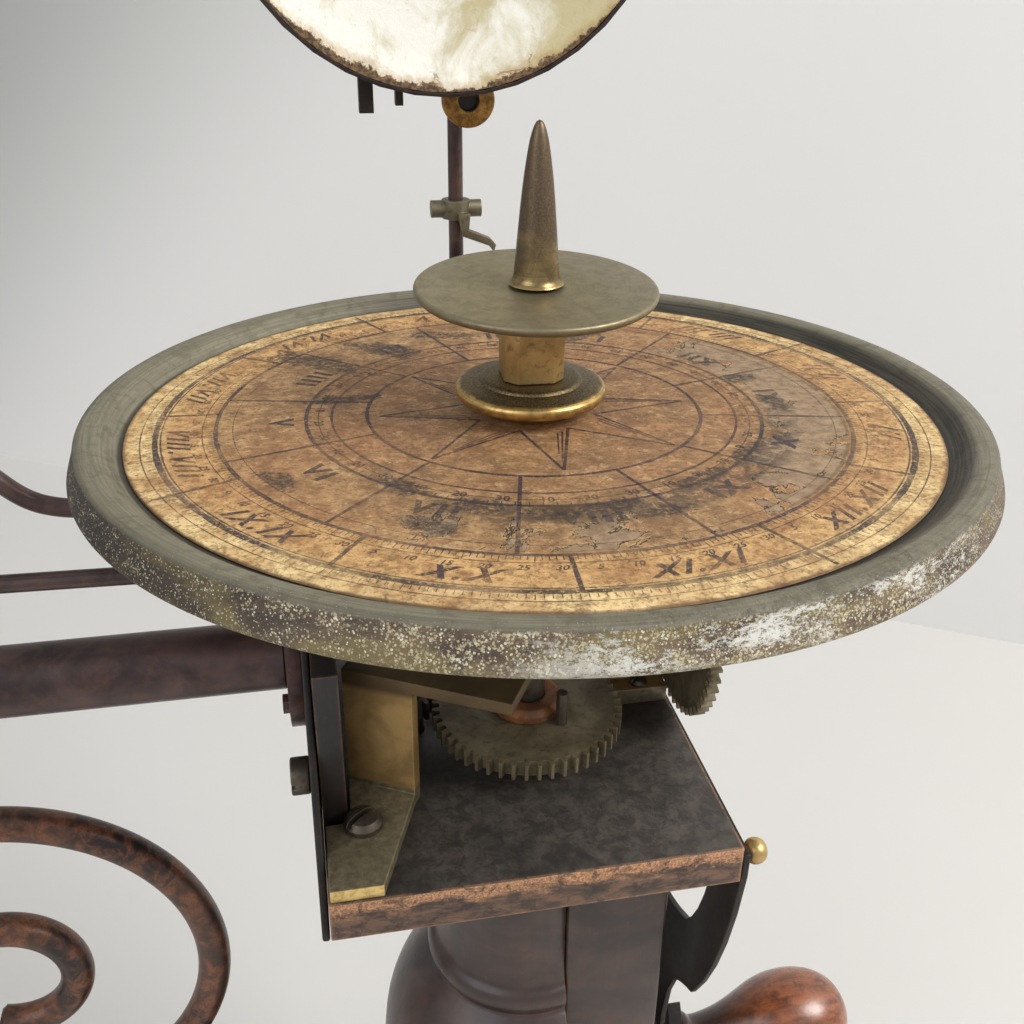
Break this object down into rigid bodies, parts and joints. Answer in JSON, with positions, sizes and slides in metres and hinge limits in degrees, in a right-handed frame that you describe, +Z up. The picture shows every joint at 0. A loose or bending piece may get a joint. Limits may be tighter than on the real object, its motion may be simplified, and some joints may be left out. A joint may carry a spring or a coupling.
{
  "type": "orrery",
  "caption": "Candle-lit tellurion orrery: a hand crank turns an arm that carries a geared Earth globe and Moon round a calendar dish with a candle pricket and mirror.",
  "frame": {"origin": "on the central spindle axis, at the centre of the base underside (table level)", "axes": "+Z up along the spindle; the arm with the Earth and Moon points along -X; the crank is on the +X side; the reflector stands on the +Y side and faces -Y"},
  "size_m": [0.362, 0.2055, 0.501],
  "materials": {
    "dark_wood": "smooth dark purple-brown lacquer, worn at the edges",
    "handle_wood": "glossy orange-brown varnish",
    "base_wood": "dark turned wood, satin",
    "brass": "aged brass with bright worn edges",
    "old_brass": "dull olive brass",
    "gear_brass": "dark oiled gear brass",
    "steel": "darkened steel",
    "black_iron": "near-black japanned iron with brown worn edges",
    "brown_iron": "brown lacquered iron with coppery wear",
    "dish_paint": "old paint, speckled white over dark brown",
    "paper": "yellowed printed card with brown stains",
    "globe_paper": "varnished paper gores",
    "ivory": "cream painted ball",
    "silvering": "silvered and yellowed, flaking at the edge"
  },
  "bodies": {
    "stand": {"base": "base_wood", "base_washer": "brass", "spindle": "steel", "base_bevel_wheel": "gear_brass", "sun_wheel": "gear_brass", "sun_wheel_collet": "brown_iron", "sun_wheel_pin": "steel", "upper_bevel_wheel": "gear_brass", "calendar_dish": "dish_paint", "calendar_paper": "paper", "candle_flange": "brass", "candle_stem": "brass", "drip_pan": "old_brass", "pricket": "old_brass"},
    "carriage": {"column": "dark_wood", "pilaster": "dark_wood", "platform": "dark_wood", "end_board": "dark_wood", "side_plate": "black_iron", "side_screw": "steel", "tube_flange": "brown_iron", "arm_tube": "brown_iron", "bridge": "brass", "bridge_screw_front": "steel", "bridge_screw_back": "steel", "shaft_block": "brass", "crank_hanger": "black_iron", "ball_screw_front": "brass", "ball_screw_back": "brass", "scroll_bracket": "brown_iron", "ring_rod": "brown_iron", "day_night_ring": "brass", "arm_head": "brass"},
    "crank": {"crank_pinion": "gear_brass", "crank_shaft": "steel", "crank_arm": "black_iron"},
    "handle": {"crank_handle": "handle_wood"},
    "arbor": {"pinion_arbor": "steel", "arbor_bevel": "gear_brass"},
    "arm_shaft_body": {"arm_shaft": "steel", "shaft_bevel": "gear_brass", "setting_wheel": "gear_brass"},
    "moon_shaft_body": {"moon_shaft": "brown_iron", "moon_shaft_wheel": "gear_brass"},
    "earth": {"earth_wheel": "gear_brass", "earth_spindle": "steel", "globe_pin": "steel"},
    "globe_body": {"globe": "globe_paper"},
    "moon": {"moon_sleeve": "old_brass", "moon_arm": "brass", "moon_ball": "ivory"},
    "reflector_arm_body": {"reflector_arm": "black_iron"},
    "reflector": {"reflector_rod": "brown_iron", "reflector_eye": "brass", "rod_stop": "old_brass"},
    "mirror": {"mirror_glass": "silvering", "mirror_back": "black_iron"}
  },
  "joints": [
    {"name": "carriage_turn", "type": "hinge", "parent": "stand", "child": "carriage", "pos_m": [0, 0, 0], "axis": [0, 0, 1], "continuous": true},
    {"name": "crank_turn", "type": "hinge", "parent": "carriage", "child": "crank", "pos_m": [0, 0, 0.099], "axis": [1, 0, 0], "continuous": true},
    {"name": "handle_spin", "type": "hinge", "parent": "crank", "child": "handle", "pos_m": [0.056, 0, 0.135], "axis": [1, 0, 0], "continuous": true},
    {"name": "arbor_turn", "type": "hinge", "parent": "carriage", "child": "arbor", "pos_m": [-0.02556, 0.009, 0.265], "axis": [0, 0, 1], "continuous": true},
    {"name": "arm_shaft_turn", "type": "hinge", "parent": "carriage", "child": "arm_shaft_body", "pos_m": [0, 0.009, 0.278], "axis": [1, 0, 0], "continuous": true},
    {"name": "earth_turn", "type": "hinge", "parent": "carriage", "child": "earth", "pos_m": [-0.236, 0.009, 0.278], "axis": [0, 0, 1], "continuous": true},
    {"name": "globe_spin", "type": "hinge", "parent": "earth", "child": "globe_body", "pos_m": [-0.236, 0.009, 0.432], "axis": [0, 0.3987, 0.9171], "continuous": true},
    {"name": "moon_shaft_turn", "type": "hinge", "parent": "carriage", "child": "moon_shaft_body", "pos_m": [0, 0, 0.305], "axis": [-0.9993, 0.0381, 0], "continuous": true},
    {"name": "moon_turn", "type": "hinge", "parent": "carriage", "child": "moon", "pos_m": [-0.236, 0.009, 0.32], "axis": [0, 0, 1], "continuous": true},
    {"name": "reflector_swing", "type": "hinge", "parent": "carriage", "child": "reflector_arm_body", "pos_m": [0, 0, 0.325], "axis": [0, 0, 1], "range_deg": [-120, 35]},
    {"name": "reflector_lift", "type": "slide", "parent": "reflector_arm_body", "child": "reflector", "axis": [0, 0, 1], "range_m": [-0.008, 0.02]},
    {"name": "reflector_tilt", "type": "hinge", "parent": "reflector", "child": "mirror", "pos_m": [0, 0.105, 0.4], "axis": [1, 0, 0], "range_deg": [-18, 5]}
  ],
  "couplings": [
    {"joint": "crank_turn", "follows": "carriage_turn", "ratio": -4},
    {"joint": "arbor_turn", "follows": "carriage_turn", "ratio": 4},
    {"joint": "arm_shaft_turn", "follows": "carriage_turn", "ratio": 4},
    {"joint": "earth_turn", "follows": "carriage_turn", "ratio": -1},
    {"joint": "moon_shaft_turn", "follows": "carriage_turn", "ratio": 4},
    {"joint": "moon_turn", "follows": "carriage_turn", "ratio": 12}
  ]
}
